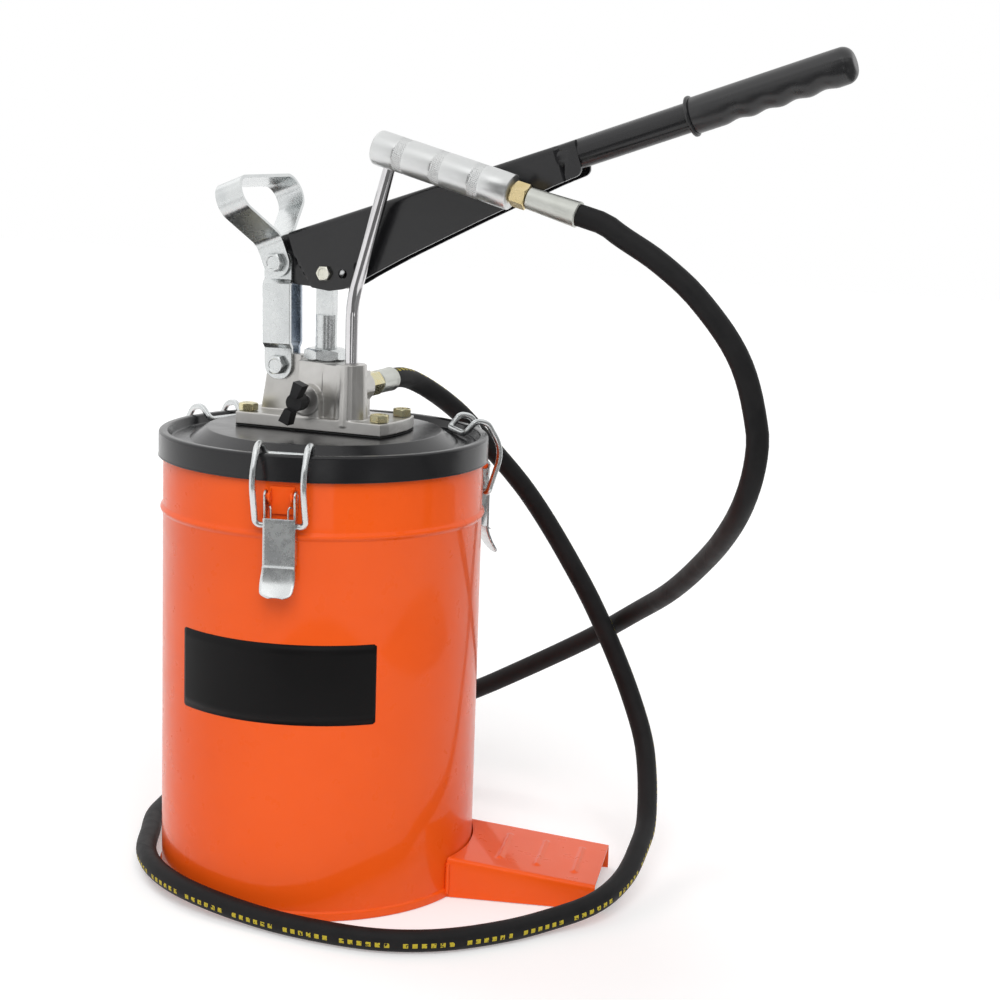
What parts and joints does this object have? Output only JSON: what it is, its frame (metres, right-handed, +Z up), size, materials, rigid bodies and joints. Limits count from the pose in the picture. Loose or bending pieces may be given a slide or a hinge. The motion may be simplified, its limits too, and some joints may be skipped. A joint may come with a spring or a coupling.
{
  "type": "gear oil pump",
  "caption": "Lever-operated gear oil bucket pump: round steel bucket with foot pedal, lid held by toggle latches, cast pump head, hand lever, hose and parked hand nozzle.",
  "frame": {"origin": "centre of the bucket's underside, on the floor", "axes": "+Z up along the bucket and the plunger, +X along the pump lever from its pivot to its grip"},
  "size_m": [0.5642, 0.3896, 0.6303],
  "materials": {
    "orange_paint": "gloss",
    "black_paint": "satin",
    "cast_aluminium": "satin, as cast",
    "machined_aluminium": "turned, with knurled bands",
    "bright_zinc": "bright zinc plate",
    "yellow_zinc": "yellow zinc plate",
    "chrome": "polished",
    "turned_steel": "turned",
    "brass": "satin",
    "hose_rubber": "matte",
    "grip_plastic": "soft matte",
    "knob_plastic": "matte",
    "seal_rubber": "matte"
  },
  "bodies": {
    "pump": {"bucket": "orange_paint", "foot_pedal": "orange_paint", "lid": "black_paint", "lid_gasket": "seal_rubber", "pump_head": "cast_aluminium", "head_gasket": "seal_rubber", "flange_bolt_1": "yellow_zinc", "flange_bolt_2": "yellow_zinc", "flange_bolt_3": "yellow_zinc", "flange_bolt_4": "yellow_zinc", "flange_nut_1": "yellow_zinc", "flange_nut_2": "yellow_zinc", "flange_nut_3": "yellow_zinc", "flange_nut_4": "yellow_zinc", "gland_nut": "bright_zinc", "gland_packing": "seal_rubber", "pump_cylinder": "turned_steel", "foot_valve_body": "turned_steel", "foot_valve_ball": "turned_steel", "inlet_strainer": "bright_zinc", "outlet_nipple": "yellow_zinc", "pump_ferrule": "bright_zinc", "hose": "hose_rubber", "nozzle_ferrule": "bright_zinc", "nozzle_adaptor": "brass", "nozzle_handle": "machined_aluminium", "nozzle_spout": "chrome", "link_bolt_lower": "bright_zinc", "link_nut_lower": "bright_zinc", "latch_1_base": "orange_paint", "latch_2_base": "orange_paint", "latch_3_base": "orange_paint"},
    "link": {"link_front": "bright_zinc", "link_rear": "bright_zinc", "link_bolt_upper": "bright_zinc", "link_nut_upper": "bright_zinc"},
    "lever": {"lever": "black_paint", "lever_grip": "grip_plastic", "rod_bolt": "yellow_zinc", "rod_nut": "yellow_zinc"},
    "plunger": {"plunger_rod": "bright_zinc", "piston": "brass", "piston_cup": "seal_rubber", "piston_nut": "bright_zinc"},
    "carry_handle": {"carry_handle": "bright_zinc"},
    "bleed": {"bleed_knob": "knob_plastic", "bleed_screw": "turned_steel"},
    "latch_1_plate": {"latch_1_plate": "bright_zinc"},
    "latch_1_wire": {"latch_1_wire": "bright_zinc"},
    "latch_2_plate": {"latch_2_plate": "bright_zinc"},
    "latch_2_wire": {"latch_2_wire": "bright_zinc"},
    "latch_3_plate": {"latch_3_plate": "bright_zinc"},
    "latch_3_wire": {"latch_3_wire": "bright_zinc"}
  },
  "joints": [
    {"name": "link_swing", "type": "hinge", "parent": "pump", "child": "link", "pos_m": [-0.0366, 0, 0.3896], "axis": [0, -1, 0], "range_deg": [-8.2, 1.4]},
    {"name": "lever_pivot", "type": "hinge", "parent": "link", "child": "lever", "pos_m": [-0.0378, 0, 0.4661], "axis": [0, -1, 0], "range_deg": [-30, 5]},
    {"name": "plunger_slide", "type": "slide", "parent": "pump", "child": "plunger", "axis": [0, 0, 1], "range_m": [-0.0251, 0.0042]},
    {"name": "carry_handle_swing", "type": "hinge", "parent": "link", "child": "carry_handle", "pos_m": [-0.0378, 0, 0.4661], "axis": [0, -1, 0], "range_deg": [0, 60]},
    {"name": "bleed_turn", "type": "hinge", "parent": "pump", "child": "bleed", "pos_m": [-0.0023, -0.0285, 0.3676], "axis": [0, -1, 0], "range_deg": [0, 270]},
    {"name": "latch_lever_1", "type": "hinge", "parent": "pump", "child": "latch_1_plate", "pos_m": [0.02908, -0.12208, 0.313], "axis": [-0.9728, -0.2317, 0], "range_deg": [0, 90]},
    {"name": "latch_wire_1", "type": "hinge", "parent": "latch_1_plate", "child": "latch_1_wire", "pos_m": [0.0292, -0.12257, 0.2925], "axis": [-0.9728, -0.2317, 0], "range_deg": [-70.3, 0]},
    {"name": "latch_lever_2", "type": "hinge", "parent": "pump", "child": "latch_2_plate", "pos_m": [0.09119, 0.08623, 0.313], "axis": [0.6871, -0.7266, 0], "range_deg": [0, 90]},
    {"name": "latch_wire_2", "type": "hinge", "parent": "latch_2_plate", "child": "latch_2_wire", "pos_m": [0.09155, 0.08657, 0.2925], "axis": [0.6871, -0.7266, 0], "range_deg": [-70.3, 0]},
    {"name": "latch_lever_3", "type": "hinge", "parent": "pump", "child": "latch_3_plate", "pos_m": [-0.12027, 0.03585, 0.313], "axis": [0.2857, 0.9583, 0], "range_deg": [0, 90]},
    {"name": "latch_wire_3", "type": "hinge", "parent": "latch_3_plate", "child": "latch_3_wire", "pos_m": [-0.12075, 0.036, 0.2925], "axis": [0.2857, 0.9583, 0], "range_deg": [-70.3, 0]}
  ],
  "couplings": [
    {"joint": "link_swing", "follows": "lever_pivot", "ratio": 0.27},
    {"joint": "plunger_slide", "follows": "lever_pivot", "m_per_rad": 0.04775},
    {"joint": "latch_wire_1", "follows": "latch_lever_1", "ratio": -0.78},
    {"joint": "latch_wire_2", "follows": "latch_lever_2", "ratio": -0.78},
    {"joint": "latch_wire_3", "follows": "latch_lever_3", "ratio": -0.78}
  ]
}
